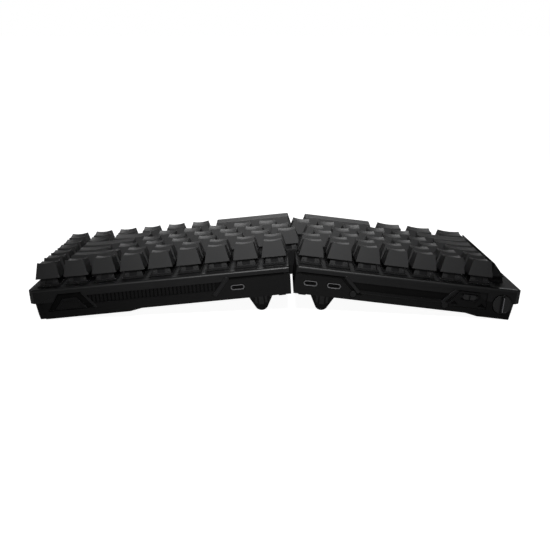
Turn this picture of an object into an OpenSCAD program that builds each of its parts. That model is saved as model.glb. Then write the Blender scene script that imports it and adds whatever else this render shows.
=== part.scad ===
// Ergonomic split keyboard: two tented halves with floating keycaps, fold-out feet,
// a rear control knob, a mode slider and charging sockets. Millimetres.
// Each half is drawn with w running outward from its seven-unit line, y to the rear and
// z up from the switch plate's top face, then tilted by the typing angle and tented.

/* [Key field] */
// Key pitch
pitch = 19.05; // [18.5:0.05:20]
// Base width of a one-unit keycap
cap_w = 16.7; // [15.5:0.1:17.5]
// Top width of a one-unit keycap
cap_top_w = 12.1; // [10:0.1:14]
// Top depth of a keycap
cap_top_d = 12.9; // [11:0.1:14]
// Keycap wall
cap_wall = 1.2; // [1:0.1:1.5]
// Keycap skirt height above the plate at rest
cap_lift = 5.7; // [5:0.1:7]
// Key travel
travel = 3.5; // [2:0.1:3.8]
// Keycap heights from the rear row to the front row
cap_h = [11.0, 10.6, 10.0, 9.6, 9.8, 10.6];

/* [Case] */
// Rear wall height from the underside to the rim
rear_h = 19; // [18:0.1:24]
// Typing angle of the plate
typing = 4; // [2:0.1:4.5]
// Rear border from the rear cap edge to the rear face
rear_y = 6.5; // [6.2:0.1:9]
// Front border from the key field to the front face
front_border = 4.9; // [4:0.1:10]
// Outer border of the right half
border_r = 3.4; // [3:0.1:8]
// Width of the control strip on the left half
border_l = 18; // [17:0.1:24]
// Height of the upper case band
band_h = 9.3; // [8.8:0.1:9.6]
// Set-back of the lower case below the band on the outer side
low_step = 3; // [1:0.1:4]
// Slope of the lower case on the outer side, from top to underside
low_slope = 2.5; // [0:0.1:4]
// How much lower the outer part of the underside is
outer_drop = 1.45; // [0.5:0.05:2]
// Start of the underside ramp on the right half
ramp_r = 100.5; // [90:0.5:110]
// Start of the underside ramp on the left half
ramp_l = 116; // [105:0.5:120]
// Corner chamfer of the case in plan
corner = 3; // [1:0.1:5]
// Floor thickness
floor_t = 1.6; // [1.2:0.1:2.2]
// Gap between the halves at the underside
half_gap = 1.4; // [0.8:0.1:6]

/* [Feet and pads] */
// Foot length below the underside
foot_len = 16.9; // [12:0.1:17.2]
// Half width of the foot
foot_hw = 10.5; // [9:0.1:11]
// Foot thickness
foot_t = 3.4; // [3:0.1:3.6]
// Tip radius of the foot
tip_r = 4.7; // [3:0.1:6]
// Side angle of the foot
foot_angle = 28; // [20:1:40]
// Distance of the feet from the inner edge line
foot_w = 21.8; // [20:0.1:24]
// Rear foot axis in front of the rear underside edge
foot_rear = 22.5; // [20:0.1:25]
// Front foot axis in front of the rear underside edge
foot_front = 76; // [72:0.1:78]
// Hinge pin radius
pin_r = 0.75; // [0.6:0.05:0.9]
// Height the pads stand below the underside
pad_out = 0.8; // [0.4:0.1:1.5]

/* [Controls and sockets] */
// Knob radius
knob_r = 6.35; // [5:0.05:6.6]
// Knob centre from the key field's outer line
knob_in = 6.3; // [5.8:0.1:7]
// Knob centre below the rim
knob_z = 10.4; // [10:0.1:11]
// How far the knob's face stands out of the rear face
knob_out = 0.8; // [0.4:0.1:3]
// Mode slider centre on the left half
slider_w = 117.5; // [110:0.5:120]
// Mode slider travel each way
slider_go = 1.8; // [1:0.1:2]
// Socket shell width
usb_w = 8.94; // [8.9:0.01:9]
// Socket shell height
usb_h = 3.26; // [3.2:0.01:3.3]
// Socket centre below the rim
usb_z = 11.2; // [10.9:0.1:11.6]
// Socket places on the left half
usb_left = [10.9, 26.6];
// Socket place on the right half
usb_right = [35.4];

/* [Hidden] */
$fn = 48;

// Key widths of each row from the inner edge outward, and the row's inner start, in units
keys_r = [[1, 1, 1, 1, 1, 1, 1, 1, 1], [1, 1, 1, 1, 1, 1, 2, 1], [1, 1, 1, 1, 1, 1, 1, 1.5, 1],
  [1, 1, 1, 1, 1, 1, 2.25, 1], [1, 1, 1, 1, 1, 1.75, 1, 1], [3.25, 1, 1, 1, 1, 1, 1]];
start_r = [0, 0, -0.5, -0.25, 0.25, -0.25];
keys_l = [[1, 1, 1, 1, 1, 1, 1], [1, 1, 1, 1, 1, 1, 1], [1, 1, 1, 1, 1, 1.5],
  [1, 1, 1, 1, 1, 1.75], [1, 1, 1, 1, 1, 2.25], [3, 1.25, 1.25, 1.25]];
start_l = [0, 0, 0.5, 0.25, -0.25, 0.25];
units_r = 9;
units_l = 7;
rows = 6;

// Clearances
eps = 0.02;
run_fit = 0.05;
press_fit = 0.02;
slide_gap = 0.3;
step_gap = 0.5;
wall_gap = 0.4;
seat_edge = 0.8;
ledge = 1.2;
inner_wall = 1.0;

// Plan lines
field_y = (pitch - cap_w) / 2;
field_front = field_y - rows * pitch;
front_y = field_front - front_border;

// Screws along the rear wall
screw_y = 2.9;
screw_r = 1;
screw_head = -16.6;
screw_end = -4.2;
head_r = 1.8;
head_t = 1.3;
head_gap = 0.2;
drive_r = 0.8;
drive_deep = 0.7;
post_r = 2.6;
screws_r = [60, 96, 160];
screws_l = [44, 80, 108];

// Controls on the left half
shaft_r = 1.5;
shaft_in = 4;
encoder_w = 7.6;
encoder_h = 8;
encoder_y = [-6, 2];
encoder_post = 5;
slider_z = -8.3;
slider_l = 5.2;
slider_h = 4;
stalk = 1.6;
grip_rib = 0.8;
grip_rib_h = 3.2;
switch_l = 10;
switch_h = 3.6;
switch_y = [-5, 0.5];

// Outer sides: the strip, the knob and the outer screw each keep their edge to the case
edge_in = low_step + low_slope;
screw_edge = edge_in + post_r;
trim_end_l = 4;
trim_rim = 2;
knob_rim = 1.2;
knob_edge = 3.4;
trim_out_l = max(units_l * pitch - trim_end_l, slider_w + slider_l / 2 + slider_go + slide_gap + trim_rim);
knob_w = max(units_l * pitch + knob_in, trim_out_l + knob_r + knob_rim);
wide_r = max(units_r * pitch + border_r, screws_r[2] + screw_edge);
wide_l = max(units_l * pitch + border_l, screws_l[2] + screw_edge, knob_w + knob_r + knob_edge);

// Plate stack
plate_t = 1.5;
board_drop = 5;
board_t = 1.6;
hole_w = 14;
house_w = 13.9;
flange_w = 15.6;
flange_t = 1;
hood_w = 13.2;
hood_top_w = 11;
house_floor = 1.4;
house_top = 6.6;
lid_z = 5.4;
chan_w = 9.2;
chan_d = 6;
mouth_w = 7.4;
stem_w = 6.8;
stem_d = 5.4;
stem_wing = 8.6;
stem_wing_t = 1.4;
stem_deep = 3.5;
shoulder = 6.4;
cross_top = 10;
cross_l = 4;
cross_t = 1.2;
boss_d = 5.8;
boss_z = 0.8;
cap_roof = 1.5;
stab_w = 6.4;
stab_d = 12;
stab_h = 4.4;
stab_slot = 4;
stab_slot_d = 6;
stab_floor = 1.2;

// Feet
hinge_z = 2.3;
barrel_r = 1.9;
pocket_h = hinge_z + barrel_r + 0.4;
roof_t = 0.9;
pocket_long = foot_len + hinge_z + 0.8;
pocket_short = barrel_r + 0.6;
pocket_hw = foot_hw + 0.4;
cheek = 2.4;
pin_half = pocket_hw + 2;
tip_c = foot_len - tip_r + hinge_z;
pad_inset = 3.5;
pad_w = 8;
pad_d = 14;
pad_seat = 0.7;
pad_rear = 5;
pad_front = 114;
inner_pad = 4;
inner_pad_w = 5;

// Tent angles follow from the foot length and the line the outer pads stand on
pad_line_r = wide_r - edge_in - pad_inset;
pad_line_l = wide_l - edge_in - pad_inset;
pad_low = outer_drop + pad_out;
tip_low = foot_len - tip_r - pad_low;
function tent(line) = asin(tip_r / sqrt(pow(line - foot_w, 2) + tip_low * tip_low))
  + atan(tip_low / (line - foot_w));
tent_r = tent(pad_line_r);
tent_l = tent(pad_line_l);
lift_r = pad_line_r * sin(tent_r) + pad_low * cos(tent_r);
lift_l = pad_line_l * sin(tent_l) + pad_low * cos(tent_l);

// Object centre in plan
rim_up = rear_h * cos(typing);
reach_r = wide_r * cos(tent_r) + rim_up * sin(tent_r) - wall_gap * cos(tent_r);
reach_l = wide_l * cos(tent_l) + rim_up * sin(tent_l) - wall_gap * cos(tent_l);
shift_x = (reach_l - reach_r) / 2;
depth = rear_y - front_y;
grip_out = 1.4;
grip_w = 2.2;
grip_l = 11.2;
back_y = (knob_out + grip_out) * cos(typing) - (rear_h - knob_z - grip_l / 2) * sin(typing);
low_front = -depth * cos(typing) - rear_h * sin(typing);
shift_y = -(back_y + low_front) / 2;
org_r = [shift_x + half_gap / 2 - wall_gap * cos(tent_r), shift_y, lift_r];
org_l = [shift_x - half_gap / 2 + wall_gap * cos(tent_l), shift_y, lift_l];

// Rear face
trim_t = 1.6;
trim_top = -4;
trim_low = -15.4;
trim_in = 4;
trim_gap = 0.1;
trim_end_r = 8;
trim_out_r = wide_r - trim_end_r;
back_wall = 3.2;
vent_r = [51, 132];
vent_l = [44, 98];
vent_z = [-12.2, -6.8];
vent_deep = 0.6;
rib_pitch = 2.6;
rib_w = 1.2;
bar_w = 2;
bar_out = 0.4;
bar_t = 1;
bar_low = trim_low + 1;
bar_top = trim_top - 0.5;

// Sockets and the board that carries them
shell_t = 0.3;
shell_in = 7.6;
shell_back = 1.1;
tongue_w = 6.7;
tongue_t = 0.7;
tongue_in = 1.2;
io_y = [-8, 2];
io_t = 1.2;
io_z = -usb_z - usb_h / 2;
io_side = 7;
io_post = 3;
io_post_in = 2;
io_posts_y = [-6, -1];
function io_from(usbs) = usbs[0] - io_side;
function io_to(usbs) = usbs[len(usbs) - 1] + io_side;

// Side guard and battery of the left half
guard_in = 0.7;
guard_w = 9.9;
guard_knee = [8, 5.5];
guard_h = 13.7;
guard_lip = 0.5;
guard_rear = -10;
guard_front = 4;
guard_step = 5;
guard_step_h = 4.6;
battery_w = [52, 108];
battery_y = [-44, -8];
battery_t = 4;

// Frames
module case_r() { translate(org_r) rotate([0, tent_r, 0]) children(); }
module case_l() { translate(org_l) rotate([0, -tent_l, 0]) mirror([1, 0, 0]) children(); }
module tilt() { rotate([typing, 0, 0]) translate([0, -rear_y, rear_h]) children(); }
module plate_r() { case_r() tilt() children(); }
module plate_l() { case_l() tilt() children(); }

// Plan outline with the stepped inner edge; i insets the inner edge
function yb(k) = field_y - k * pitch;
function w_in(s, k, i) = s[k] * pitch + wall_gap + i;
function y_st(s, k, i) = yb(k) + (s[k - 1] < s[k] ? 1 : -1) * (step_gap + i);
function inner_pts(s, i, yr, yf) = concat([[w_in(s, 0, i), yr]],
  [for (k = [1 : rows - 1]) if (s[k] != s[k - 1])
    each [[w_in(s, k - 1, i), y_st(s, k, i)], [w_in(s, k, i), y_st(s, k, i)]]],
  [[w_in(s, rows - 1, i), yf]]);
function plan(s, i, wo, yr, yf, c) = concat(inner_pts(s, i, yr, yf),
  [[wo - c, yf], [wo, yf + c], [wo, yr - c], [wo - c, yr]]);

// Key centres
function before(list, n) = n <= 0 ? 0 : list[n - 1] + before(list, n - 1);
function key_w(ks, s, r, j) = (s[r] + before(ks[r], j) + ks[r][j] / 2) * pitch;
function row_y(r) = field_y - (r + 0.5) * pitch;
module each_key(ks, s, r) {
  for (j = [0 : len(ks[r]) - 1])
    translate([key_w(ks, s, r, j), row_y(r), 0]) {
      $units = ks[r][j];
      children();
    }
}

module box(w0, w1, y0, y1, z0, z1) { translate([w0, y0, z0]) cube([w1 - w0, y1 - y0, z1 - z0]); }
module frustum(bw, bd, tw, td, h) {
  intersection() {
    rotate([90, 0, 0]) linear_extrude(height = bd + 2, center = true)
      polygon([[-bw / 2, 0], [bw / 2, 0], [tw / 2, h], [-tw / 2, h]]);
    rotate([90, 0, 90]) linear_extrude(height = bw + 2, center = true)
      polygon([[-bd / 2, 0], [bd / 2, 0], [td / 2, h], [-td / 2, h]]);
  }
}
module cross2d(l, t) {
  square([l, t], center = true);
  square([t, l], center = true);
}

// Keycap shell with a stem boss
module keycap(u, h) {
  more = (u - 1) * pitch;
  translate([0, 0, cap_lift]) difference() {
    union() {
      difference() {
        frustum(cap_w + more, cap_w, cap_top_w + more, cap_top_d, h);
        translate([0, 0, -eps]) frustum(cap_w + more - 2 * cap_wall, cap_w - 2 * cap_wall,
          cap_top_w + more - 2 * cap_wall, cap_top_d - 2 * cap_wall, h - cap_roof);
      }
      translate([0, 0, boss_z]) linear_extrude(height = h - cap_roof - boss_z + 0.3)
        circle(d = boss_d, $fn = 8);
    }
    translate([0, 0, boss_z - 1])
      linear_extrude(height = cross_top - cap_lift - boss_z + 1)
        cross2d(cross_l + 2 * press_fit, cross_t + 2 * press_fit);
  }
}

// Switch slider with its cross post
module stem() {
  union() {
    box(-stem_w / 2, stem_w / 2, -stem_d / 2, stem_d / 2, lid_z - slide_gap - stem_deep, shoulder);
    box(-stem_wing / 2, stem_wing / 2, -stem_d / 2, stem_d / 2,
      lid_z - slide_gap - stem_wing_t, lid_z - slide_gap);
    translate([0, 0, shoulder - 0.2]) linear_extrude(height = cross_top - shoulder + 0.2)
      cross2d(cross_l, cross_t);
  }
}

// Switch housing clipped into the plate
module housing() {
  difference() {
    union() {
      box(-flange_w / 2, flange_w / 2, -flange_w / 2, flange_w / 2, 0, flange_t);
      box(-house_w / 2, house_w / 2, -house_w / 2, house_w / 2, -board_drop, flange_t / 2);
      translate([0, 0, flange_t - 0.1])
        frustum(hood_w, hood_w, hood_top_w, hood_top_w, house_top - flange_t + 0.1);
    }
    box(-mouth_w / 2, mouth_w / 2, -chan_d / 2, chan_d / 2, 0, house_top + 1);
    box(-chan_w / 2, chan_w / 2, -chan_d / 2, chan_d / 2, -board_drop + house_floor, lid_z);
  }
}

module row_caps(ks, s, r) { each_key(ks, s, r) keycap($units, cap_h[r]); }
module row_stems(ks, s, r) { each_key(ks, s, r) stem(); }
module housings(ks, s) { for (r = [0 : rows - 1]) each_key(ks, s, r) housing(); }
module stabs(ks, s) {
  for (r = [0 : rows - 1]) each_key(ks, s, r)
    if ($units >= 2)
      for (side = [-1, 1]) {
        arm = $units >= 3 ? pitch : 0.625 * pitch;
        translate([side * arm, 0, 0]) difference() {
          box(-stab_w / 2, stab_w / 2, -stab_d / 2, stab_d / 2, 0, stab_h);
          box(-stab_slot / 2, stab_slot / 2, -stab_slot_d / 2, stab_slot_d / 2, stab_floor, stab_h + 1);
        }
      }
}

// Plate and board
module plate_plan(s, u, i) {
  polygon(plan(s, inner_wall + i, u * pitch + seat_edge - i, field_y + seat_edge - i,
    field_front - seat_edge + i, 1));
}
module switch_plate(ks, s, u) {
  translate([0, 0, -plate_t]) linear_extrude(height = plate_t) difference() {
    plate_plan(s, u, 0);
    for (r = [0 : rows - 1]) each_key(ks, s, r) square(hole_w, center = true);
  }
}
module circuit_board(s, u) {
  translate([0, 0, -board_drop - board_t]) linear_extrude(height = board_t)
    plate_plan(s, u, ledge + 0.3);
}

// Upper case: band, ledge for the plate and the rear openings
module top_case(s, u, wo, trim_out, usbs, places) {
  difference() {
    translate([0, 0, -band_h]) linear_extrude(height = band_h)
      polygon(plan(s, 0, wo, rear_y, front_y, corner));
    translate([0, 0, -plate_t]) linear_extrude(height = plate_t + 1) plate_plan(s, u, 0);
    translate([0, 0, -band_h - 1]) linear_extrude(height = band_h + 2)
      polygon(plan(s, inner_wall, u * pitch + seat_edge - ledge, field_y + seat_edge - ledge,
        field_front - seat_edge + ledge, 1));
    rear_recess(trim_out);
    usb_holes(usbs);
    for (w = places) translate([w, screw_y, -band_h - 1])
      cylinder(r = screw_r + press_fit, h = 1 + band_h + screw_end + head_gap);
  }
}
module rear_recess(trim_out) { box(trim_in, trim_out, rear_y - trim_t, rear_y + 2, trim_low, trim_top); }
module usb_holes(usbs) {
  for (w = usbs) box(w - usb_w / 2 - slide_gap, w + usb_w / 2 + slide_gap, -1, rear_y + 2,
    -usb_z - usb_h / 2 - slide_gap, -usb_z + usb_h / 2 + slide_gap);
}

// Lower case: tray with a ramped underside, foot pockets and screw posts
module under(wo, ramp, up, i) {
  rotate([90, 0, 0]) linear_extrude(height = 400, center = true)
    polygon([[-30, 40], [-30, up], [ramp, up], [ramp + 8, up - outer_drop],
      [wo - edge_in - i, up - outer_drop], [wo - low_step - i, rear_h - band_h], [wo - low_step - i, 40]]);
}
module tray(s, wo, ramp, up, i, iy, top) {
  intersection() {
    tilt() translate([0, 0, -60]) linear_extrude(height = 60 - band_h + top)
      polygon(plan(s, i, wo - low_step - iy, rear_y - (iy > 0 ? back_wall : 0), front_y + iy, corner));
    under(wo, ramp, up, iy);
  }
}
module pocket_shell(y, dir) {
  y0 = dir > 0 ? y - pocket_short - 1.2 : y - pocket_long - 1.2;
  y1 = dir > 0 ? y + pocket_long + 1.2 : y + pocket_short + 1.2;
  box(foot_w - pocket_hw - cheek, foot_w + pocket_hw + cheek, y0, y1, 0.1, pocket_h + roof_t);
}
module pocket(y, dir) {
  y0 = dir > 0 ? y - pocket_short : y - pocket_long;
  y1 = dir > 0 ? y + pocket_long : y + pocket_short;
  box(foot_w - pocket_hw, foot_w + pocket_hw, y0, y1, -5, pocket_h);
  translate([foot_w, y, hinge_z]) rotate([0, 90, 0])
    cylinder(r = pin_r + press_fit, h = 2 * pin_half, center = true);
}
module bottom_case(s, wo, ramp, trim_out, usbs, places) {
  difference() {
    union() {
      difference() {
        tray(s, wo, ramp, 0, 0, 0, 0);
        tray(s, wo, ramp, floor_t, 1.2, 2, 1);
      }
      intersection() {
        tray(s, wo, ramp, 0, 0, 0, 0);
        union() {
          tilt() for (w = places) translate([w, screw_y, -40]) cylinder(r = post_r, h = 40 - band_h);
          tilt() for (w = [io_from(usbs) + io_post_in, io_to(usbs) - io_post_in]) for (y = io_posts_y)
            box(w - io_post / 2, w + io_post / 2, y - io_post / 2, y + io_post / 2, -40, io_z - io_t);
        }
      }
      pocket_shell(-foot_rear, -1);
      pocket_shell(-foot_front, 1);
    }
    pocket(-foot_rear, -1);
    pocket(-foot_front, 1);
    tilt() rear_recess(trim_out);
    tilt() usb_holes(usbs);
    tilt() for (w = places) translate([w, screw_y, -60]) {
      cylinder(r = screw_r + 2 * run_fit, h = 80);
      cylinder(r = head_r + head_gap, h = 60 + screw_head);
    }
    pads(wo);
  }
}

module screws(places) {
  for (w = places) translate([w, screw_y, 0]) {
    translate([0, 0, screw_head - head_t]) difference() {
      cylinder(r = head_r, h = head_t);
      translate([0, 0, -1]) cylinder(r = drive_r, h = 1 + drive_deep, $fn = 6);
    }
    translate([0, 0, screw_head - eps]) cylinder(r = screw_r, h = screw_end - screw_head);
  }
}

// Rubber pads set into the underside
module pads(wo) {
  for (y = [-pad_rear, pad_d - pad_front]) {
    box(wo - edge_in - pad_inset - pad_w, wo - edge_in - pad_inset, y - pad_d, y, -pad_low, pad_seat - outer_drop);
    box(inner_pad, inner_pad + inner_pad_w, y - pad_d, y, -pad_low, pad_seat);
  }
}

// Fold-out foot, hinge axis through its origin
module foot() {
  dx = tip_r * cos(foot_angle);
  dz = tip_c + tip_r * sin(foot_angle);
  zs = dz - (foot_hw - dx) / tan(foot_angle);
  difference() {
    union() {
      rotate([0, 90, 0]) cylinder(r = barrel_r, h = 2 * foot_hw, center = true);
      rotate([90, 0, 0]) linear_extrude(height = foot_t, center = true)
        polygon([[-foot_hw, 0], [-foot_hw, -zs], [-dx, -dz], [dx, -dz], [foot_hw, -zs], [foot_hw, 0]]);
      translate([0, 0, -tip_c]) rotate([90, 0, 0]) cylinder(r = tip_r, h = foot_t, center = true);
    }
    rotate([0, 90, 0]) cylinder(r = pin_r + run_fit, h = 60, center = true);
  }
}
module foot_at(y) { translate([foot_w, -y, hinge_z]) foot(); }
module foot_pins() {
  for (y = [foot_rear, foot_front]) translate([foot_w, -y, hinge_z]) rotate([0, 90, 0])
    cylinder(r = pin_r, h = 2 * pin_half, center = true);
}

// Sockets, their board and the rear trim
module usb(w) {
  difference() {
    box(w - usb_w / 2, w + usb_w / 2, rear_y - shell_in, rear_y - shell_t, io_z, io_z + usb_h);
    box(w - usb_w / 2 + shell_t, w + usb_w / 2 - shell_t, rear_y - shell_in + shell_back, rear_y + 1,
      io_z + shell_t, io_z + usb_h - shell_t);
  }
  box(w - tongue_w / 2, w + tongue_w / 2, rear_y - shell_in + shell_back / 2, rear_y - tongue_in,
    -usb_z - tongue_t / 2, -usb_z + tongue_t / 2);
}
module io_board(usbs) { box(io_from(usbs), io_to(usbs), io_y[0], io_y[1], io_z - io_t, io_z); }
module slant(w, lean) {
  translate([0, rear_y + bar_out, 0]) rotate([90, 0, 0]) linear_extrude(height = bar_t)
    polygon([[w, bar_low], [w + bar_w, bar_low], [w + bar_w + lean, bar_top], [w + lean, bar_top]]);
}
module trim_base(trim_out, vent) {
  difference() {
    box(trim_in + trim_gap, trim_out - trim_gap, rear_y - trim_t, rear_y, trim_low + trim_gap, trim_top - trim_gap);
    box(vent[0], vent[1], rear_y - vent_deep, rear_y + 1, vent_z[0], vent_z[1]);
  }
}
module trim_r() {
  difference() {
    union() {
      trim_base(trim_out_r, vent_r);
      for (w = [vent_r[0] + rib_w : rib_pitch : vent_r[1] - rib_pitch])
        box(w, w + rib_w, rear_y - 2 * vent_deep, rear_y - trim_gap, vent_z[0] - 2 * trim_gap, vent_z[1] + 2 * trim_gap);
      slant(49.5, -8.5);
      slant(131, 8.4);
      slant(trim_out_r - 5.35, -6.5);
    }
    usb_holes(usb_right);
  }
}
module trim_l() {
  difference() {
    union() {
      trim_base(trim_out_l, vent_l);
      slant(42.5, -9);
      slant(slider_w - 18, 9.5);
    }
    usb_holes(usb_left);
    box(slider_w - slider_l / 2 - slider_go - slide_gap, slider_w + slider_l / 2 + slider_go + slide_gap, 0, rear_y + 2,
      slider_z - slider_h / 2 - slide_gap, slider_z + slider_h / 2 + slide_gap);
  }
}

// Left half control corner
module knob_hole() {
  translate([knob_w, 0, -knob_z]) rotate([-90, 0, 0])
    cylinder(r = knob_r + slide_gap + 0.1, h = rear_y + 2);
}
module slider_slot() {
  box(slider_w - stalk / 2 - slider_go - slide_gap, slider_w + stalk / 2 + slider_go + slide_gap, -3, rear_y,
    slider_z - stalk / 2 - slide_gap, slider_z + stalk / 2 + slide_gap);
}
module switch_hollow() {
  z0 = -board_drop - board_t;
  box(slider_w - switch_l / 2 - run_fit, slider_w + switch_l / 2 + run_fit, switch_y[0] - run_fit, switch_y[1] + run_fit,
    z0 - switch_h - run_fit, z0 + run_fit);
}
module deck_hollow() {
  web = units_l * pitch + seat_edge + 1.2;
  box(web, wide_l - low_step - 2, front_y + 4, rear_y - back_wall, -band_h - 1, -2.4);
}
module lens_at(g) {
  box(units_l * pitch + 3 - g, wide_l - 2.4 + g, rear_y - 4.2 - g, rear_y - 1.6 + g, -1, 1);
}

module left_top_case() {
  color("#1c1c1e") plate_l() difference() {
    top_case(start_l, units_l, wide_l, trim_out_l, usb_left, screws_l);
    deck_hollow();
    knob_hole();
    slider_slot();
    switch_hollow();
    lens_at(0.05);
  }
}
module left_bottom_case() {
  color("#161617") case_l() difference() {
    union() {
      bottom_case(start_l, wide_l, ramp_l, trim_out_l, usb_left, screws_l);
      intersection() {
        tray(start_l, wide_l, ramp_l, floor_t - 0.1, 1.2, 2, 1);
        tilt() box(knob_w - encoder_post / 2, knob_w + encoder_post / 2, encoder_y[0] + 1, encoder_y[1] - 1,
          -40, -knob_z - encoder_h / 2);
      }
    }
    tilt() knob_hole();
    tilt() slider_slot();
  }
}
module left_switch_plate() { color("#6a6c70") plate_l() switch_plate(keys_l, start_l, units_l); }
module left_circuit_board() { color("#14301f") plate_l() circuit_board(start_l, units_l); }
module left_switch_housings() { color("#2a2a2c") plate_l() housings(keys_l, start_l); }
module left_stabilizers() { color("#2e2e30") plate_l() stabs(keys_l, start_l); }
module left_usb_sockets() { color("#8d8f94") plate_l() for (w = usb_left) usb(w); }
module left_io_board() { color("#14301f") plate_l() io_board(usb_left); }
module left_rear_trim() { color("#121213") plate_l() trim_l(); }
module left_side_wing() {
  f = units_l * pitch + guard_in;
  color("#222224") plate_l() difference() {
    translate([0, guard_rear, 0]) rotate([90, 0, 0]) linear_extrude(height = guard_rear - front_y - guard_front)
      polygon([[f, 0], [f + guard_w, 0], [f + guard_knee[0], guard_knee[1]], [f + guard_lip, guard_h], [f, guard_h]]);
    box(f - 1, f + guard_w + 1, guard_rear - guard_step, guard_rear + 1, -1, guard_step_h);
  }
}
module left_battery() { color("#3c3c40") case_l() box(battery_w[0], battery_w[1], battery_y[0], battery_y[1], floor_t, floor_t + battery_t); }
module left_rubber_pads() { color("#0d0d0e") case_l() pads(wide_l); }
module left_case_screws() { color("#77797d") plate_l() screws(screws_l); }
module left_front_foot() { color("#1a1a1b") case_l() foot_at(foot_front); }
module left_rear_foot() { color("#1a1a1b") case_l() foot_at(foot_rear); }
module left_foot_pins() { color("#8a8c90") case_l() foot_pins(); }
module control_knob() {
  color("#3a3b3e") plate_l() translate([knob_w, 0, -knob_z]) rotate([-90, 0, 0]) {
    translate([0, 0, rear_y - back_wall + 0.4])
      cylinder(r = knob_r, h = back_wall - 0.4 + knob_out);
    translate([-grip_w / 2, -grip_l / 2, rear_y + knob_out - 0.2]) cube([grip_w, grip_l, grip_out + 0.2]);
    translate([0, 0, -shaft_in]) cylinder(r = shaft_r, h = rear_y + 1);
  }
}
module knob_encoder() {
  color("#4a4b50") plate_l() difference() {
    box(knob_w - encoder_w / 2, knob_w + encoder_w / 2, encoder_y[0], encoder_y[1],
      -knob_z - encoder_h / 2, -knob_z + encoder_h / 2);
    translate([knob_w, -shaft_in - 0.4, -knob_z]) rotate([-90, 0, 0]) cylinder(r = shaft_r + run_fit, h = 12);
  }
}
module mode_slider() {
  color("#3a3b3e") plate_l() union() {
    box(slider_w - slider_l / 2, slider_w + slider_l / 2, rear_y - 1.3, rear_y - 0.2,
      slider_z - slider_h / 2, slider_z + slider_h / 2);
    box(slider_w - stalk / 2, slider_w + stalk / 2, -1.5, rear_y - 1.2, slider_z - stalk / 2, slider_z + stalk / 2);
    box(slider_w - grip_rib / 2, slider_w + grip_rib / 2, rear_y - 0.3, rear_y + 0.5,
      slider_z - grip_rib_h / 2, slider_z + grip_rib_h / 2);
  }
}
module mode_switch_body() {
  z0 = -board_drop - board_t;
  color("#55575c") plate_l() difference() {
    box(slider_w - switch_l / 2, slider_w + switch_l / 2, switch_y[0], switch_y[1], z0 - switch_h, z0);
    box(slider_w - stalk / 2 - slider_go - slide_gap, slider_w + stalk / 2 + slider_go + slide_gap, -2, 1,
      slider_z - stalk / 2 - slide_gap, slider_z + stalk / 2 + slide_gap);
  }
}
module indicator_lens() {
  color("#d8dade") plate_l() intersection() {
    lens_at(0);
    box(0, 400, -100, 100, -5, 0.1);
  }
}

module right_top_case() {
  color("#1c1c1e") plate_r() top_case(start_r, units_r, wide_r, trim_out_r, usb_right, screws_r);
}
module right_bottom_case() {
  color("#161617") case_r()
    bottom_case(start_r, wide_r, ramp_r, trim_out_r, usb_right, screws_r);
}
module right_switch_plate() { color("#6a6c70") plate_r() switch_plate(keys_r, start_r, units_r); }
module right_circuit_board() { color("#14301f") plate_r() circuit_board(start_r, units_r); }
module right_switch_housings() { color("#2a2a2c") plate_r() housings(keys_r, start_r); }
module right_stabilizers() { color("#2e2e30") plate_r() stabs(keys_r, start_r); }
module right_usb_socket() { color("#8d8f94") plate_r() for (w = usb_right) usb(w); }
module right_io_board() { color("#14301f") plate_r() io_board(usb_right); }
module right_rear_trim() { color("#121213") plate_r() trim_r(); }
module right_rubber_pads() { color("#0d0d0e") case_r() pads(wide_r); }
module right_case_screws() { color("#77797d") plate_r() screws(screws_r); }
module right_front_foot() { color("#1a1a1b") case_r() foot_at(foot_front); }
module right_rear_foot() { color("#1a1a1b") case_r() foot_at(foot_rear); }
module right_foot_pins() { color("#8a8c90") case_r() foot_pins(); }

module caps_l(r) { color("#242426") plate_l() row_caps(keys_l, start_l, r); }
module caps_r(r) { color("#242426") plate_r() row_caps(keys_r, start_r, r); }
module stems_l(r) { color("#a0a2a6") plate_l() row_stems(keys_l, start_l, r); }
module stems_r(r) { color("#a0a2a6") plate_r() row_stems(keys_r, start_r, r); }

module left_row1_keycaps() { caps_l(0); }
module left_row2_keycaps() { caps_l(1); }
module left_row3_keycaps() { caps_l(2); }
module left_row4_keycaps() { caps_l(3); }
module left_row5_keycaps() { caps_l(4); }
module left_row6_keycaps() { caps_l(5); }
module left_row1_stems() { stems_l(0); }
module left_row2_stems() { stems_l(1); }
module left_row3_stems() { stems_l(2); }
module left_row4_stems() { stems_l(3); }
module left_row5_stems() { stems_l(4); }
module left_row6_stems() { stems_l(5); }
module right_row1_keycaps() { caps_r(0); }
module right_row2_keycaps() { caps_r(1); }
module right_row3_keycaps() { caps_r(2); }
module right_row4_keycaps() { caps_r(3); }
module right_row5_keycaps() { caps_r(4); }
module right_row6_keycaps() { caps_r(5); }
module right_row1_stems() { stems_r(0); }
module right_row2_stems() { stems_r(1); }
module right_row3_stems() { stems_r(2); }
module right_row4_stems() { stems_r(3); }
module right_row5_stems() { stems_r(4); }
module right_row6_stems() { stems_r(5); }

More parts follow.
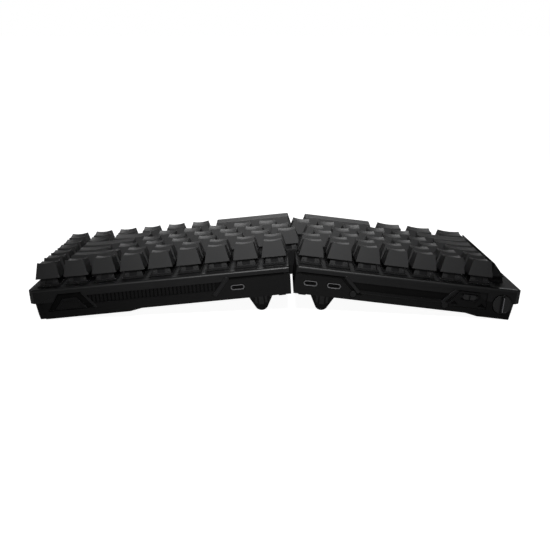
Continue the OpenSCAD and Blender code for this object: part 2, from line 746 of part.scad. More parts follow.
left_top_case();
left_bottom_case();
left_switch_plate();
left_circuit_board();
left_switch_housings();
left_stabilizers();
left_usb_sockets();
left_io_board();
left_rear_trim();
left_side_wing();
left_battery();
left_rubber_pads();
left_case_screws();
left_front_foot();
left_rear_foot();
left_foot_pins();
control_knob();
knob_encoder();
mode_slider();
mode_switch_body();
indicator_lens();
right_top_case();
right_bottom_case();
right_switch_plate();
right_circuit_board();
right_switch_housings();
right_stabilizers();
right_usb_socket();
right_io_board();
right_rear_trim();
right_rubber_pads();
right_case_screws();
right_front_foot();
right_rear_foot();
right_foot_pins();
left_row1_keycaps();
left_row2_keycaps();
left_row3_keycaps();
left_row4_keycaps();
left_row5_keycaps();
left_row6_keycaps();
left_row1_stems();
left_row2_stems();
left_row3_stems();
left_row4_stems();
left_row5_stems();
left_row6_stems();
right_row1_keycaps();
right_row2_keycaps();
right_row3_keycaps();
right_row4_keycaps();
right_row5_keycaps();
right_row6_keycaps();
right_row1_stems();
right_row2_stems();
right_row3_stems();
right_row4_stems();
right_row5_stems();
right_row6_stems();
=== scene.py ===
import math
import bpy
from mathutils import Matrix, Vector


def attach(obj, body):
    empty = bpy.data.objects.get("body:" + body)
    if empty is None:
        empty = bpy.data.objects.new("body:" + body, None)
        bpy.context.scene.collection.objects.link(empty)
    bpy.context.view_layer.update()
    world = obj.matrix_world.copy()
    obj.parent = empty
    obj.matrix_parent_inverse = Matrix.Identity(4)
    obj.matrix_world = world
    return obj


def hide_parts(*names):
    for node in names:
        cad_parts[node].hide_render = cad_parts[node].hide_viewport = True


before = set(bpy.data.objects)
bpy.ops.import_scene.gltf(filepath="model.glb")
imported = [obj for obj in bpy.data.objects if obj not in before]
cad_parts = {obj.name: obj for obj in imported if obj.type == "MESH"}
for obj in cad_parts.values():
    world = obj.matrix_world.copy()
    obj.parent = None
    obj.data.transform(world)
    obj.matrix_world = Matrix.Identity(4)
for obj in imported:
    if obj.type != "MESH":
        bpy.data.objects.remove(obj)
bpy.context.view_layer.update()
MM = 0.001

# Sizes shared with the solids, in millimetres
PITCH, CAP_W, CAP_TOP_W, CAP_TOP_D, CAP_LIFT = 19.05, 16.7, 12.1, 12.9, 5.7
REAR_Y, REAR_H, TYPING = 6.5, 19.0, 4.0
TENT = {"left": -6.9452409, "right": 5.8166362}
ORIGIN = {"left": (-11.97215, 61.780832, 19.446549), "right": (-11.367155, 61.780832, 19.046511)}
FIELD_Y = (PITCH - CAP_W) / 2
CAP_H = [11.0, 10.6, 10.0, 9.6, 9.8, 10.6]
CAP_TILT = [1.5, 1.0, 0.5, 0.0, -0.6, -0.9]
KEYS = {
    "right": [[1] * 9, [1] * 6 + [2, 1], [1] * 7 + [1.5, 1],
              [1] * 6 + [2.25, 1], [1] * 5 + [1.75, 1, 1], [3.25] + [1] * 6],
    "left": [[1] * 7, [1] * 7, [1] * 5 + [1.5],
             [1] * 5 + [1.75], [1] * 5 + [2.25], [3, 1.25, 1.25, 1.25]],
}
START = {"right": [0, 0, -0.5, -0.25, 0.25, -0.25], "left": [0, 0, 0.5, 0.25, -0.25, 0.25]}
USB = {"left": [10.9, 26.6], "right": [35.4]}
USB_Z, KNOB_W, KNOB_Z, SLIDER_W, SLIDER_Z = -11.2, 139.65, -10.4, 117.5, -8.3
FOOT_W, HINGE_Y = 21.8, {"rear": -22.5, "front": -76}

# Depths on the rear face, along the plate
FILL_Y, TRIM_Y = 4.7, 4.9


def mirror(half):
    return Matrix.Diagonal((-1 if half == "left" else 1, 1, 1, 1))


def case_matrix(half):
    tent = Matrix.Rotation(math.radians(TENT[half]), 4, "Y")
    return Matrix.Translation(Vector(ORIGIN[half]) * MM) @ tent @ mirror(half)


def plate_matrix(half):
    lift = Matrix.Translation(Vector((0, -REAR_Y, REAR_H)) * MM)
    return case_matrix(half) @ Matrix.Rotation(math.radians(TYPING), 4, "X") @ lift


TRAY = {half: case_matrix(half) for half in ("left", "right")}
PLATE = {half: plate_matrix(half) for half in ("left", "right")}


# Working steps
def deselect():
    if bpy.context.mode != "OBJECT":
        bpy.ops.object.mode_set(mode="OBJECT")
    bpy.ops.object.select_all(action="DESELECT")


def choose(piece):
    deselect()
    piece.select_set(True)
    bpy.context.view_layer.objects.active = piece


def edit(piece):
    choose(piece)
    bpy.ops.object.mode_set(mode="EDIT")


def pick_faces(piece, test):
    bpy.ops.mesh.select_all(action="DESELECT")
    bpy.ops.object.mode_set(mode="OBJECT")
    for face in piece.data.polygons:
        face.select = test(face)
    bpy.ops.object.mode_set(mode="EDIT")
    bpy.ops.mesh.select_mode(type="FACE")


def pick_edges(piece, test):
    bpy.ops.mesh.select_all(action="DESELECT")
    bpy.ops.mesh.select_mode(type="EDGE")
    bpy.ops.object.mode_set(mode="OBJECT")
    points = piece.data.vertices
    for edge in piece.data.edges:
        edge.select = test(points[edge.vertices[0]].co, points[edge.vertices[1]].co)
    bpy.ops.object.mode_set(mode="EDIT")


def named(name):
    piece = bpy.context.active_object
    piece.name = name
    piece.data.name = name
    return piece


def block(name, x0, x1, y0, y1, z0, z1):
    deselect()
    centre = (MM * (x0 + x1) / 2, MM * (y0 + y1) / 2, MM * (z0 + z1) / 2)
    bpy.ops.mesh.primitive_cube_add(size=1, location=centre)
    piece = named(name)
    piece.scale = (MM * (x1 - x0), MM * (y1 - y0), MM * (z1 - z0))
    bpy.ops.object.transform_apply(location=True, rotation=True, scale=True)
    return piece


def rod(name, x, z, y0, y1, radius, sides=48):
    deselect()
    bpy.ops.mesh.primitive_cylinder_add(vertices=sides, radius=radius * MM, depth=(y1 - y0) * MM,
        location=(x * MM, (y0 + y1) / 2 * MM, z * MM), rotation=(math.pi / 2, 0, 0))
    piece = named(name)
    bpy.ops.object.transform_apply(location=True, rotation=True, scale=True)
    return piece


def prism(name, outline, y0, y1):
    deselect()
    bpy.ops.mesh.primitive_circle_add(vertices=len(outline), fill_type="NGON")
    piece = named(name)
    for point, (w, z) in zip(piece.data.vertices, outline):
        point.co = (w * MM, y0 * MM, z * MM)
    edit(piece)
    bpy.ops.mesh.select_all(action="SELECT")
    bpy.ops.mesh.extrude_region_move(TRANSFORM_OT_translate={"value": (0, (y1 - y0) * MM, 0)})
    bpy.ops.mesh.select_all(action="SELECT")
    bpy.ops.mesh.normals_make_consistent(inside=False)
    deselect()
    return piece


def bar(name, start, end, width, y0, y1):
    a, b = Vector(start), Vector(end)
    side = Vector((-(b - a).y, (b - a).x)).normalized() * width / 2
    return prism(name, [a + side, b + side, b - side, a - side], y0, y1)


def apply_modifier(piece, kind, **settings):
    choose(piece)
    step = piece.modifiers.new(kind.lower(), kind)
    for key, value in settings.items():
        setattr(step, key, value)
    bpy.ops.object.modifier_apply(modifier=step.name)
    return piece


def combine(piece, tool, operation="DIFFERENCE"):
    apply_modifier(piece, "BOOLEAN", object=tool, operation=operation, solver="EXACT")
    bpy.data.objects.remove(tool)
    return piece


def soften(piece, width, segments=2, angle=35):
    return apply_modifier(piece, "BEVEL", width=width * MM, segments=segments, limit_method="ANGLE",
        angle_limit=math.radians(angle), harden_normals=False, use_clamp_overlap=True)


def smooth(piece, angle=32):
    choose(piece)
    bpy.ops.object.shade_smooth_by_angle(angle=math.radians(angle))
    return piece


def tidy_faces(piece):
    edit(piece)
    bpy.ops.mesh.select_all(action="SELECT")
    bpy.ops.mesh.remove_doubles(threshold=2e-6)
    bpy.ops.mesh.dissolve_limited(angle_limit=math.radians(0.6))
    deselect()
    return piece


def copy_of(piece, name):
    twin = piece.copy()
    twin.data = piece.data.copy()
    for key in list(twin.keys()):
        del twin[key]
    bpy.context.scene.collection.objects.link(twin)
    twin.parent = None
    twin.matrix_world = Matrix.Identity(4)
    twin.name = name
    twin.data.name = name
    return twin


def skin_of(node, name):
    twin = copy_of(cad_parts[node], name)
    twin.data.materials.clear()
    return tidy_faces(twin)


def seat(piece, half, frames=PLATE):
    piece.data.transform(frames[half])
    if half == "left":
        piece.data.flip_normals()
    return piece


def stand(piece, half, along, units, row, lift):
    spot = Vector(((along + units / 2) * PITCH, FIELD_Y - (row + 0.5) * PITCH, lift)) * MM
    piece.data.transform(PLATE[half] @ Matrix.Translation(spot) @ mirror(half))
    return piece


def round_along(piece, radius, segments):
    edit(piece)
    pick_edges(piece, lambda a, b: abs(a.y - b.y) > 0.4 * MM)
    bpy.ops.mesh.bevel(offset=radius * MM, segments=segments, affect="EDGES")
    deselect()
    return piece


def sink_rear(piece, rim, depth):
    edit(piece)
    pick_faces(piece, lambda f: f.normal.y > 0.9)
    bpy.ops.mesh.inset(thickness=rim * MM)
    bpy.ops.mesh.extrude_region_move(TRANSFORM_OT_translate={"value": (0, -depth * MM, 0)})
    deselect()
    return piece


def join(pieces, name):
    deselect()
    for piece in pieces:
        piece.select_set(True)
    bpy.context.view_layer.objects.active = pieces[0]
    if len(pieces) > 1:
        bpy.ops.object.join()
    return named(name)


def paint(piece, finish):
    piece.data.materials.clear()
    piece.data.materials.append(finish)
    return piece


def fit(piece, body, slot, *nodes):
    apply_modifier(piece, "WEIGHTED_NORMAL", weight=60, keep_sharp=True)
    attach(piece, body)
    if nodes:
        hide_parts(*nodes)
    return piece


# Finishes
def plastic(name, dark, light, rough, grain, bump, specular=0.5):
    finish = bpy.data.materials.new(name)
    finish.use_nodes = True
    nodes, links = finish.node_tree.nodes, finish.node_tree.links
    shader = nodes["Principled BSDF"]
    shader.inputs["Specular IOR Level"].default_value = specular
    place = nodes.new("ShaderNodeTexCoord")
    fine = nodes.new("ShaderNodeTexNoise")
    fine.inputs["Scale"].default_value = grain
    fine.inputs["Detail"].default_value = 4
    links.new(place.outputs["Object"], fine.inputs["Vector"])
    broad = nodes.new("ShaderNodeTexNoise")
    broad.inputs["Scale"].default_value = 38
    links.new(place.outputs["Object"], broad.inputs["Vector"])
    blend = nodes.new("ShaderNodeMix")
    blend.data_type = "RGBA"
    blend.inputs["A"].default_value = (*dark, 1)
    blend.inputs["B"].default_value = (*light, 1)
    links.new(broad.outputs["Fac"], blend.inputs["Factor"])
    links.new(blend.outputs["Result"], shader.inputs["Base Color"])
    gloss = nodes.new("ShaderNodeMapRange")
    gloss.inputs["To Min"].default_value = rough - 0.06
    gloss.inputs["To Max"].default_value = rough + 0.08
    links.new(fine.outputs["Fac"], gloss.inputs["Value"])
    links.new(gloss.outputs["Result"], shader.inputs["Roughness"])
    relief = nodes.new("ShaderNodeBump")
    relief.inputs["Strength"].default_value = bump
    relief.inputs["Distance"].default_value = 0.00008
    links.new(fine.outputs["Fac"], relief.inputs["Height"])
    links.new(relief.outputs["Normal"], shader.inputs["Normal"])
    return finish


def metal(name, tone, rough, stretch):
    finish = bpy.data.materials.new(name)
    finish.use_nodes = True
    nodes, links = finish.node_tree.nodes, finish.node_tree.links
    shader = nodes["Principled BSDF"]
    shader.inputs["Metallic"].default_value = 1
    place = nodes.new("ShaderNodeTexCoord")
    turn = nodes.new("ShaderNodeMapping")
    turn.inputs["Scale"].default_value = stretch
    links.new(place.outputs["Object"], turn.inputs["Vector"])
    brushed = nodes.new("ShaderNodeTexNoise")
    brushed.inputs["Scale"].default_value = 900
    links.new(turn.outputs["Vector"], brushed.inputs["Vector"])
    shade = nodes.new("ShaderNodeMix")
    shade.data_type = "RGBA"
    shade.inputs["A"].default_value = (*(c * 0.85 for c in tone), 1)
    shade.inputs["B"].default_value = (*(min(c * 1.1, 1) for c in tone), 1)
    links.new(brushed.outputs["Fac"], shade.inputs["Factor"])
    links.new(shade.outputs["Result"], shader.inputs["Base Color"])
    gloss = nodes.new("ShaderNodeMapRange")
    gloss.inputs["To Min"].default_value = rough - 0.08
    gloss.inputs["To Max"].default_value = rough + 0.1
    links.new(brushed.outputs["Fac"], gloss.inputs["Value"])
    links.new(gloss.outputs["Result"], shader.inputs["Roughness"])
    return finish


cap_finish = plastic("keycap_plastic", (0.019, 0.019, 0.0195), (0.027, 0.027, 0.0275), 0.46, 5200, 0.30, 0.30)
band_finish = plastic("case_satin", (0.0065, 0.0065, 0.0068), (0.0095, 0.0095, 0.0098), 0.36, 3600, 0.22, 0.28)
tray_finish = plastic("tray_matt", (0.0028, 0.0028, 0.0029), (0.0044, 0.0044, 0.0045), 0.50, 3000, 0.30, 0.16)
panel_finish = plastic("panel_fine", (0.0032, 0.0032, 0.0033), (0.005, 0.005, 0.0052), 0.36, 4200, 0.15, 0.22)
# Black plastic for the socket tongues; on the rear trims the same black is painted shade laid in grooves,
# wells, strips and recess floors.
black_and_painted_shade_finish = plastic("black_plastic_and_painted_shade", (0.0012, 0.0012, 0.0012), (0.002, 0.002, 0.002), 0.65, 3000, 0.2, 0.1)
switch_finish = plastic("switch_body", (0.008, 0.008, 0.0085), (0.012, 0.012, 0.0125), 0.38, 3000, 0.15, 0.35)
peg_finish = plastic("light_guide", (0.025, 0.025, 0.026), (0.035, 0.035, 0.036), 0.3, 2600, 0.1)
stem_finish = plastic("stem_plastic", (0.10, 0.10, 0.105), (0.14, 0.14, 0.145), 0.35, 2600, 0.1)
rubber_finish = plastic("pad_rubber", (0.006, 0.006, 0.006), (0.009, 0.009, 0.009), 0.72, 2200, 0.5, 0.2)
foot_finish = plastic("foot_satin", (0.003, 0.003, 0.0032), (0.005, 0.005, 0.0052), 0.34, 3600, 0.15, 0.22)
board_finish = plastic("board_mask", (0.012, 0.030, 0.018), (0.018, 0.040, 0.024), 0.4, 2000, 0.1)
lens_finish = plastic("lens_clear", (0.20, 0.205, 0.21), (0.26, 0.265, 0.27), 0.16, 1500, 0.05)
knob_finish = plastic("knob_satin", (0.015, 0.015, 0.0155), (0.021, 0.021, 0.0215), 0.28, 4200, 0.12, 0.45)
plate_metal = metal("plate_anodised", (0.020, 0.020, 0.021), 0.48, (1, 8, 8))
socket_metal = metal("socket_steel", (0.40, 0.40, 0.41), 0.42, (6, 1, 6))
pin_metal = metal("pin_steel", (0.5, 0.5, 0.52), 0.34, (1, 8, 8))

FINISH_OF = (("stems", stem_finish), ("plate", plate_metal), ("board", board_finish),
             ("housings", switch_finish), ("stabilizers", switch_finish), ("usb", socket_metal),
             ("pins", pin_metal), ("screws", pin_metal), ("pads", rubber_finish),
             ("lens", lens_finish), ("keycaps", cap_finish), ("_foot", foot_finish))
for node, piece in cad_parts.items():
    finish = tray_finish
    for word, choice in FINISH_OF:
        if word in node and not (word == "_foot" and "pins" in node):
            finish = choice
    paint(piece, finish)


# Keycaps: tapered shell, hollow below, scooped top
def keycap(units, row):
    more = (units - 1) * PITCH
    bw, tw, h = CAP_W + more, CAP_TOP_W + more, CAP_H[row]
    cap = block("keycap_model", -bw / 2, bw / 2, -CAP_W / 2, CAP_W / 2, 0, h)
    edit(cap)
    pick_faces(cap, lambda f: f.normal.z > 0.9)
    bpy.ops.transform.resize(value=(tw / bw, CAP_TOP_D / CAP_W, 1), center_override=(0, 0, h * MM))
    fall = CAP_TILT[row]
    lower = -1 if fall > 0 else 1
    crest, wall, crown = 0.6 * h * MM, 1.2, 4.2
    pick_edges(cap, lambda a, b: min(a.z, b.z) > crest and min(a.y * lower, b.y * lower) > 0)
    bpy.ops.transform.translate(value=(0, 0, -abs(fall) * MM))
    pick_faces(cap, lambda f: f.normal.z < -0.9)
    bpy.ops.mesh.inset(thickness=wall * MM)
    bpy.ops.mesh.extrude_region_move(TRANSFORM_OT_translate={"value": (0, 0, (h - crown) * MM)})
    bpy.ops.transform.resize(value=((tw - 2.0) / (bw - 2 * wall), 0.82, 1),
        center_override=(0, 0, (h - crown) * MM))
    deselect()
    dip = 0.8 if units < 3 else 0.0
    if dip:
        ball = CAP_TOP_W ** 2 / (8 * dip)
        sink = dip + CAP_TOP_D ** 2 / (8 * ball)
        bpy.ops.mesh.primitive_uv_sphere_add(segments=120, ring_count=60, radius=ball * MM,
            rotation=(0, math.pi / 2, 0))
        scoop = named("scoop")
        bpy.ops.object.transform_apply(location=True, rotation=True, scale=True)
        slope = Matrix.Rotation(math.atan2(fall, CAP_TOP_D), 4, "X")
        stretch = Matrix.Diagonal((tw / CAP_TOP_W, 1, 1, 1))
        scoop.data.transform(Matrix.Translation(Vector((0, 0, h - abs(fall) / 2)) * MM) @ slope
                             @ Matrix.Translation(Vector((0, 0, ball - sink)) * MM) @ stretch)
        combine(cap, scoop)
    soften(cap, 0.7, 3, 32)
    return smooth(cap, 38)


cap_models = {}
for half in ("left", "right"):
    for row in range(6):
        caps = []
        along = START[half][row]
        for units in KEYS[half][row]:
            if (units, row) not in cap_models:
                cap_models[units, row] = keycap(units, row)
            caps.append(stand(copy_of(cap_models[units, row], "cap"), half, along, units, row, CAP_LIFT))
            along += units
        body = f"{half}_row{row + 1}"
        keys = paint(join(caps, f"{body}_shaped_keycaps"), cap_finish)
        fit(keys, body, "keycap", f"{body}_keycaps")
for model in cap_models.values():
    bpy.data.objects.remove(model)


# Switch housings: flange with notches, tapered upper body, light guides
def switch_model():
    flange = block("flange", -7.8, 7.8, -7.8, 7.8, 0, 1)
    for x in (-1.7, 1.7):
        for y in (-7.8, 7.8):
            combine(flange, block("notch", x - 0.9, x + 0.9, y - 0.7, y + 0.7, 0.35, 2))
    soften(flange, 0.15, 1)
    upper = block("upper", -6.6, 6.6, -6.6, 6.6, 0.9, 6.6)
    edit(upper)
    pick_faces(upper, lambda f: f.normal.z > 0.9)
    bpy.ops.transform.resize(value=(11 / 13.2, 11 / 13.2, 1), center_override=(0, 0, 6.6 * MM))
    deselect()
    soften(upper, 0.4, 2)
    for y in (-6.6, 6.6):
        combine(upper, block("window", -2.6, 2.6, y - 1.2, y + 1.2, 1.6, 4.8))
    combine(upper, block("mouth", -3.7, 3.7, -3, 3, 5, 8))
    lower = block("lower", -6.95, 6.95, -6.95, 6.95, -5, 0.2)
    soften(lower, 0.3, 1)
    for part in (flange, upper, lower):
        combine(part, block("channel", -4.6, 4.6, -3, 3, -3.6, 5.4))
    pegs = []
    for x in (-5.0, 5.0):
        for y0, y1 in ((-6.7, -5.6), (5.6, 6.7)):
            pegs.append(paint(smooth(rod("peg", x, 2.9, y0, y1, 0.55, 10)), peg_finish))
    body = join([paint(p, switch_finish) for p in (flange, upper, lower)], "switch_body")
    return smooth(join([body] + pegs, "switch_model"), 30)


switch = switch_model()
for half in ("left", "right"):
    bodies = []
    for row in range(6):
        along = START[half][row]
        for units in KEYS[half][row]:
            bodies.append(stand(copy_of(switch, "one_switch"), half, along, units, row, 0))
            along += units
    fit(join(bodies, f"{half}_shaped_switches"), f"{half}_half", "switch_housing", f"{half}_switch_housings")
bpy.data.objects.remove(switch)


def socket_window(panel, half):
    for w in USB[half]:
        hole = block("hole", w - 4.75, w + 4.75, 3, 8, USB_Z - 1.9, USB_Z + 1.9)
        combine(panel, seat(round_along(hole, 1.85, 6), half))
    return panel


def on_rim(point):
    return abs(point.z) < 1e-5 and abs(point.y - REAR_Y * MM) < 1e-5


# Cases with the rear face worked in
CASE = {
    "right": {"fills": [("top", [(43, -3.8), (140, -3.8), (137.4, -6.6), (45.2, -6.6)]),
                        ("tray", [(50.2, -12.2), (132.6, -12.2), (130, -15.6), (53, -15.6)]),
                        ("top", [(167, -3.8), (167, -9.3), (159.1, -9.3), (155.4, -3.8)]),
                        ("tray", [(159.1, -9.3), (167, -9.3), (167, -15.6), (163.4, -15.6)])],
              "io": [(0.42, -16.2), (0.42, -5.6), (42, -5.6), (51, -16.2)],
              "cuts": [("top", [(-12, -4.2), (41.5, -4.2), (45.9, -9.5), (-12, -9.5)], 4.9),
                       ("tray", [(165.5, -9), (180, -9), (180, -30), (165.5, -30)], 5.3)]},
    "left": {"fills": [("top", [(34.5, -3.8), (107.5, -3.8), (104.6, -7), (38, -7)]),
                       ("tray", [(43, -12), (101, -12), (99, -15.6), (46, -15.6)])],
             "io": [(0.42, -16.2), (0.42, -5.6), (30.6, -5.6), (40.6, -15), (40.6, -16.2)],
             "cuts": [("top", [(-12, -4.2), (31.2, -4.2), (36, -9.5), (-12, -9.5)], 4.9),
                      ("tray", [(146.4, -9), (160, -9), (160, -30), (146.4, -30)], 5.3)]},
}
CASE_PARTS = (("top", "top_case", band_finish, "upper_case"),
              ("tray", "bottom_case", tray_finish, "lower_case"))
for half in ("left", "right"):
    side = CASE[half]
    skins = {part: skin_of(f"{half}_{node}", f"{half}_shaped_{node}") for part, node, _, _ in CASE_PARTS}
    for part, outline in side["fills"]:
        combine(skins[part], seat(prism("fill", outline, FILL_Y, REAR_Y), half), "UNION")
    for part, outline, y0 in side["cuts"]:
        combine(skins[part], seat(prism("cut", outline, y0, 9), half))
    combine(skins["tray"], seat(prism("io_face", side["io"], FILL_Y, REAR_Y - 0.04), half), "UNION")
    socket_window(skins["tray"], half)
    for part, node, finish, slot in CASE_PARTS:
        piece = tidy_faces(skins[part])
        if part == "top":
            back = PLATE[half].inverted()
            edit(piece)
            pick_edges(piece, lambda a, b: on_rim(back @ a) and on_rim(back @ b))
            bpy.ops.mesh.bevel(offset=2.1 * MM, segments=5, affect="EDGES")
            deselect()
        soften(piece, 0.4, 2, 40)
        smooth(piece, 32)
        fit(paint(piece, finish), f"{half}_half", slot, f"{half}_{node}")


# Rear trim of the right half
# The strip is the floor behind the ribs, painted black as painted shade between the ribs.
strip = block("strip", 44, 138, TRIM_Y, 5.5, -12.2, -6.6)
ribs = [block("rib", w, w + 1.3, 5.4, 6.2, -12.2, -6.6) for w in [50.5 + 2.6 * k for k in range(33)]]
ribbed = soften(join(ribs, "ribs"), 0.2, 1)
# The groove and the well are thin black sheets laid in these recesses as painted shade.
groove = prism("groove", [(4.1, -4.1), (43, -4.1), (45, -6.4), (4.1, -6.4)], TRIM_Y, 5.2)
well = prism("well", [(165, -15.4), (156, -4.05), (138, -4.05), (129.5, -15.4)], TRIM_Y, 5.1)
slash = soften(bar("slash", (41.4, -3.9), (51.4, -15.6), 2.6, TRIM_Y, 6.9), 0.35)
recess_outline = [(158.8, -15.3), (152.6, -7.6), (143.6, -7.6), (136.8, -15.3)]
recess_plate = soften(prism("recess_plate", recess_outline, TRIM_Y, 6.0), 0.4)
pad = soften(round_along(block("recess_pad", 141.3, 153.6, 6.0, 6.6, -15, -9.8), 1.6, 5), 0.2, 2)
frame_bar = soften(bar("frame_bar", (139.4, -4.2), (130.6, -15.4), 1.6, TRIM_Y, 6.6), 0.3)
trim = [paint(p, f) for p, f in (
    (groove, black_and_painted_shade_finish), (well, black_and_painted_shade_finish), (ribbed, panel_finish), (strip, black_and_painted_shade_finish),
    (slash, band_finish), (recess_plate, panel_finish), (pad, panel_finish), (frame_bar, band_finish))]
right_trim = seat(smooth(join(trim, "right_shaped_trim"), 32), "right")
fit(right_trim, "right_half", "trim", "right_rear_trim")

# Rear trim of the left half
# The groove is a thin black sheet laid in the recess along the top and the diagonal as painted shade.
groove_outline = [(4.1, -4.1), (32, -4.1), (41.5, -15.3), (38, -15.3), (29, -6.4), (4.1, -6.4)]
groove = prism("groove", groove_outline, TRIM_Y, 5.2)
slash = soften(bar("slash", (33.6, -3.9), (43.8, -13.8), 2.2, TRIM_Y, 6.9), 0.35)
# The strip is painted black as painted shade in the recessed band.
strip = block("strip", 38, 104, TRIM_Y, 5.6, -12, -7)
lip = soften(block("lip", 45, 99, 5.4, 6.75, -14.6, -13.7), 0.25)
slash_two = soften(bar("slash_two", (99.4, -13.6), (108.2, -4.1), 2.2, TRIM_Y, 6.9), 0.35)
BOSSES = ((39.8, -15.1), (101.7, -15.2))
bosses = [soften(rod("boss", w, z, 6.2, 6.95, 2.05, 40), 0.3) for w, z in BOSSES]
rings = [rod("ring", w, z, 6.2, 6.56, 2.6, 40) for w, z in BOSSES]
panel_outline = [(102.6, -15.3), (110.6, -4.6), (123.6, -4.6), (129.1, -10.6), (129.1, -15.3)]
window_outline = [(112.2, -10.4), (110.6, -8.2), (111.9, -6), (123.1, -6), (124.4, -8.2), (122.8, -10.4)]
DARTS = (107.7, 126.2)
switch_panel = prism("switch_panel", panel_outline, TRIM_Y, 6.35)
combine(switch_panel, prism("window", window_outline, 3, 8))
for w in DARTS:
    combine(switch_panel, prism("dart", [(w - 2.6, -14), (w, -11.3), (w + 2.6, -14)], 5.2, 8))
combine(switch_panel, rod("pin_hole", 121.6, -11.6, 5.4, 8, 0.45, 16))
soften(switch_panel, 0.25)
# Black floors behind the darts and the slider window: painted shade in these recesses.
floors = [prism("dart_floor", [(w - 2.5, -13.95), (w, -11.4), (w + 2.5, -13.95)], 5.1, 5.3) for w in DARTS]
floors += [block("window_floor", 110.3, 124.7, 4.95, 5.1, z0, z1) for z0, z1 in ((-10.6, -9.5), (-7.1, -5.8))]
trim = [paint(p, f) for p, f in (
    (groove, black_and_painted_shade_finish), (slash, band_finish), (strip, black_and_painted_shade_finish), (lip, tray_finish),
    (slash_two, band_finish), (switch_panel, panel_finish))]
trim += [paint(p, band_finish) for p in bosses] + [paint(p, black_and_painted_shade_finish) for p in rings + floors]
left_trim = seat(smooth(join(trim, "left_shaped_trim"), 32), "left")
fit(left_trim, "left_half", "trim", "left_rear_trim")

# Charging sockets
for half in ("left", "right"):
    shells = []
    for w in USB[half]:
        shell = block("shell", w - 4.47, w + 4.47, -1.1, 6.3, USB_Z - 1.63, USB_Z + 1.63)
        sink_rear(round_along(shell, 1.6, 6), 0.35, 6.0)
        tongue = block("tongue", w - 3.3, w + 3.3, 0.4, 5.3, USB_Z - 0.35, USB_Z + 0.35)
        shells.append(paint(shell, socket_metal))
        shells.append(paint(soften(tongue, 0.12, 1), black_and_painted_shade_finish))
    node = "left_usb_sockets" if half == "left" else "right_usb_socket"
    fit(seat(smooth(join(shells, f"{half}_shaped_sockets"), 32), half), f"{half}_half", "socket", node)

# Knob with its grip bar
disc = rod("disc", KNOB_W, KNOB_Z, 3.7, 7.3, 6.35, 96)
soften(sink_rear(disc, 0.7, 0.35), 0.25, 2)
grip = soften(block("grip", KNOB_W - 1.1, KNOB_W + 1.1, 6.6, 8.6, KNOB_Z - 5.6, KNOB_Z + 5.6), 0.45, 3)
nub = soften(rod("nub", KNOB_W, KNOB_Z + 5.0, 6.6, 7.9, 0.9, 24), 0.25)
# A thin bright metal strip on the outward edge of the grip bar: painted highlight for the light on its rounded
# edge.
highlight_strip = soften(block("highlight_strip", KNOB_W + 0.15, KNOB_W + 0.75, 8.4, 8.68, KNOB_Z - 4.9, KNOB_Z + 4.9), 0.1, 1)
spindle = rod("spindle", KNOB_W, KNOB_Z, -4, 3.9, 1.5, 40)
knob_parts = [paint(p, knob_finish) for p in (disc, nub, spindle)]
knob = join(knob_parts + [paint(grip, panel_finish), paint(highlight_strip, pin_metal)], "shaped_knob")
fit(seat(smooth(knob, 32), "left"), "knob", "knob", "control_knob")

# Mode slider with two lobes
LOBE = ((0.2, -1.8), (3.4, -1.8), (4.7, 0), (3.7, 1.8), (0.2, 1.8))
lobes = []
for side in (-1, 1):
    outline = [(SLIDER_W + side * w, SLIDER_Z + z) for w, z in LOBE]
    lobes.append(soften(prism("lobe", outline, 5.2, 6.3), 0.3))
rib = soften(block("rib", SLIDER_W - 0.4, SLIDER_W + 0.4, 5.2, 6.9, SLIDER_Z - 1.6, SLIDER_Z + 1.6), 0.15)
tab = block("tab", SLIDER_W - 0.8, SLIDER_W + 0.8, -1.5, 5.4, SLIDER_Z - 0.8, SLIDER_Z + 0.8)
slider_parts = [paint(p, knob_finish) for p in lobes] + [paint(p, panel_finish) for p in (rib, tab)]
slider = join(slider_parts, "shaped_slider")
fit(seat(smooth(slider, 32), "left"), "slider", "knob", "mode_slider")

# Feet, pads and side guard
for half in ("left", "right"):
    for place in ("front", "rear"):
        foot = skin_of(f"{half}_{place}_foot", f"{half}_{place}_shaped_foot")
        soften(foot, 0.4, 2, 40)
        rib_y = HINGE_Y[place] + 1.2, HINGE_Y[place] + 1.88
        ribs = []
        for x, half_w in ((-3.4, 0.9), (0, 1.7), (3.4, 0.9)):
            middle = FOOT_W + x
            rib = block("rib", middle - half_w, middle + half_w, *rib_y, -12.6 + abs(x) * 0.3, 1.2)
            # The ribs take the lighter knob plastic as a painted highlight along the foot's ridges.
            ribs.append(paint(seat(soften(rib, 0.3, 2), half, TRAY), knob_finish))
        foot = join([paint(foot, foot_finish)] + ribs, foot.name)
        fit(smooth(foot, 32), f"{half}_foot_{place}", "foot", f"{half}_{place}_foot")
    pads = soften(skin_of(f"{half}_rubber_pads", f"{half}_shaped_pads"), 0.35, 2)
    fit(paint(smooth(pads, 32), rubber_finish), f"{half}_half", "rubber", f"{half}_rubber_pads")
wing = soften(skin_of("left_side_wing", "left_shaped_wing"), 0.6, 3, 25)
fit(paint(smooth(wing, 32), band_finish), "left_half", "upper_case", "left_side_wing")

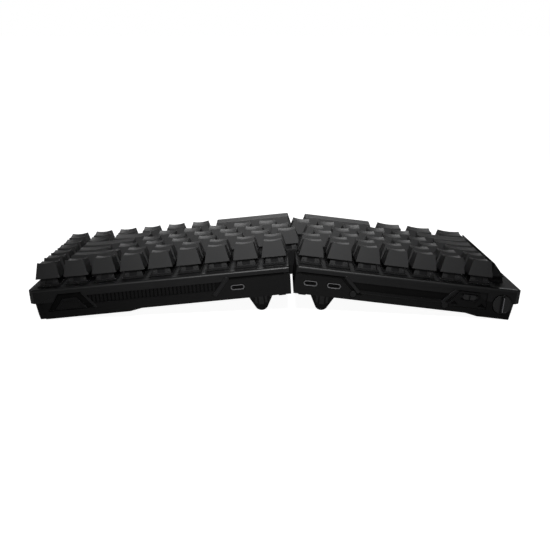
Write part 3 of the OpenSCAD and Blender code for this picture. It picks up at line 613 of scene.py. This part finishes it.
# Floor, light and camera
deselect()
bpy.ops.mesh.primitive_plane_add(size=8)
floor = named("floor")
floor_finish = bpy.data.materials.new("floor_white")
floor_finish.use_nodes = True
nodes, links = floor_finish.node_tree.nodes, floor_finish.node_tree.links
shader = nodes["Principled BSDF"]
shader.inputs["Base Color"].default_value = (0.5, 0.5, 0.5, 1)
shader.inputs["Roughness"].default_value = 0.9
shader.inputs["Specular IOR Level"].default_value = 0.1
path = nodes.new("ShaderNodeLightPath")
share = nodes.new("ShaderNodeMath")
share.operation = "MULTIPLY"
share.inputs[1].default_value = 0.95
links.new(path.outputs["Is Camera Ray"], share.inputs[0])
glow = nodes.new("ShaderNodeEmission")
links.new(share.outputs["Value"], glow.inputs["Strength"])
both = nodes.new("ShaderNodeAddShader")
links.new(shader.outputs["BSDF"], both.inputs[0])
links.new(glow.outputs["Emission"], both.inputs[1])
links.new(both.outputs["Shader"], nodes["Material Output"].inputs["Surface"])
floor.data.materials.append(floor_finish)

world = bpy.data.worlds.new("studio")
bpy.context.scene.world = world
world.use_nodes = True
nodes, links = world.node_tree.nodes, world.node_tree.links
nodes["Background"].inputs["Color"].default_value = (1, 1, 1, 1)
nodes["Background"].inputs["Strength"].default_value = 0.12
white = nodes.new("ShaderNodeBackground")
white.inputs["Color"].default_value = (1, 1, 1, 1)
path = nodes.new("ShaderNodeLightPath")
both = nodes.new("ShaderNodeMixShader")
links.new(path.outputs["Is Camera Ray"], both.inputs["Fac"])
links.new(nodes["Background"].outputs["Background"], both.inputs[1])
links.new(white.outputs["Background"], both.inputs[2])
links.new(both.outputs["Shader"], nodes["World Output"].inputs["Surface"])


def lamp(name, place, target, size, power, spread):
    light = bpy.data.lights.new(name, "AREA")
    light.size = size
    light.spread = math.radians(spread)
    light.energy = power
    source = bpy.data.objects.new(name, light)
    source.location = place
    source.rotation_euler = (Vector(target) - Vector(place)).to_track_quat("-Z", "Y").to_euler()
    bpy.context.scene.collection.objects.link(source)


lamp("key", (0, 0.75, 0.62), (0, 0.03, 0.04), 0.16, 0.21, 27)
lamp("fill", (0, -0.8, 0.75), (0, 0, 0.03), 0.5, 0.5, 60)

camera = bpy.data.cameras.new("camera")
camera.sensor_width = 36
camera.lens = 915.7 / 550 * 36
eye = bpy.data.objects.new("camera", camera)
eye.location = (-0.00016, 0.6390, 0.2107)
eye.rotation_euler = (math.radians(90 - 17.21), 0, math.pi)
bpy.context.scene.collection.objects.link(eye)
bpy.context.scene.camera = eye

bpy.context.scene.view_settings.view_transform = "Standard"
deselect()
